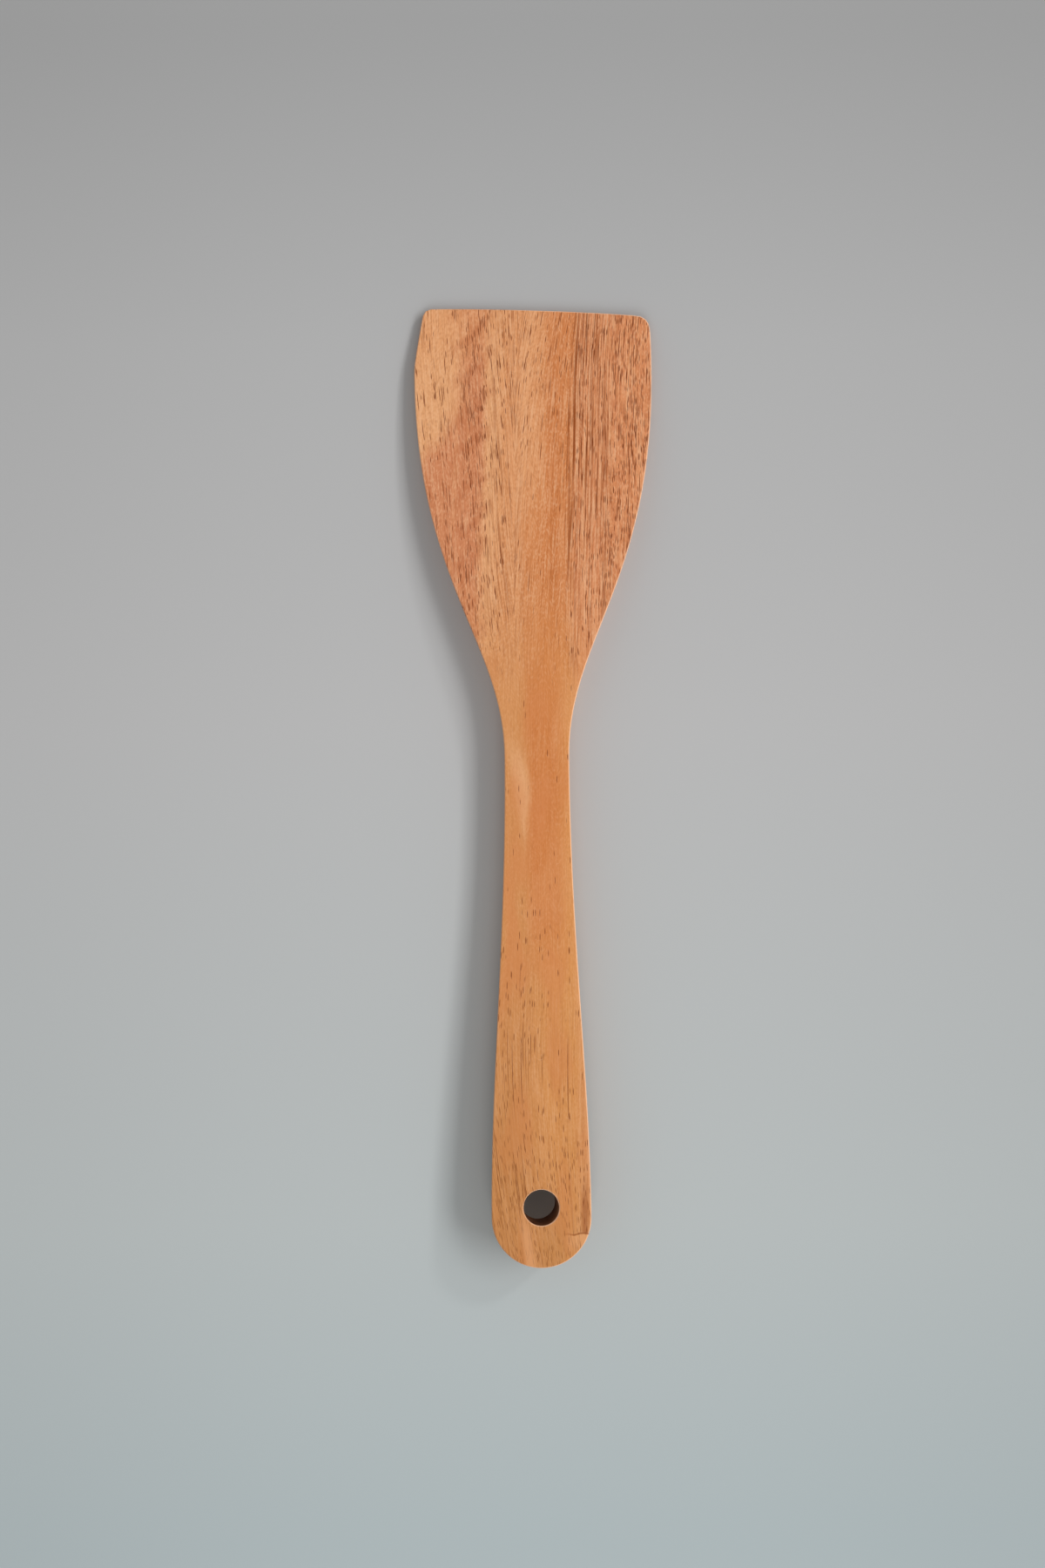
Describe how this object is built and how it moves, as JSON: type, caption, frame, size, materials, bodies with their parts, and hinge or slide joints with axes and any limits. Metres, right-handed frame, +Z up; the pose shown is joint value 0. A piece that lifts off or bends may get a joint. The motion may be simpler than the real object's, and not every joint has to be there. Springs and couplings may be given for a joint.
{
  "type": "wooden spatula",
  "caption": "Flat hardwood kitchen turner cut from a single board, with a broad blade, slanted tip, waisted neck, rounded grip and a hanging hole.",
  "frame": {"origin": "level with the flat back, in the middle of the part's length and width", "axes": "+Y from the grip towards the blade's tip, +Z up out of the top face, +X to the right"},
  "size_m": [0.075, 0.3, 0.014],
  "materials": {
    "oiled_wood": "sanded and oiled, satin"
  },
  "bodies": {
    "root": {"spatula_body": "oiled_wood"}
  },
  "joints": []
}
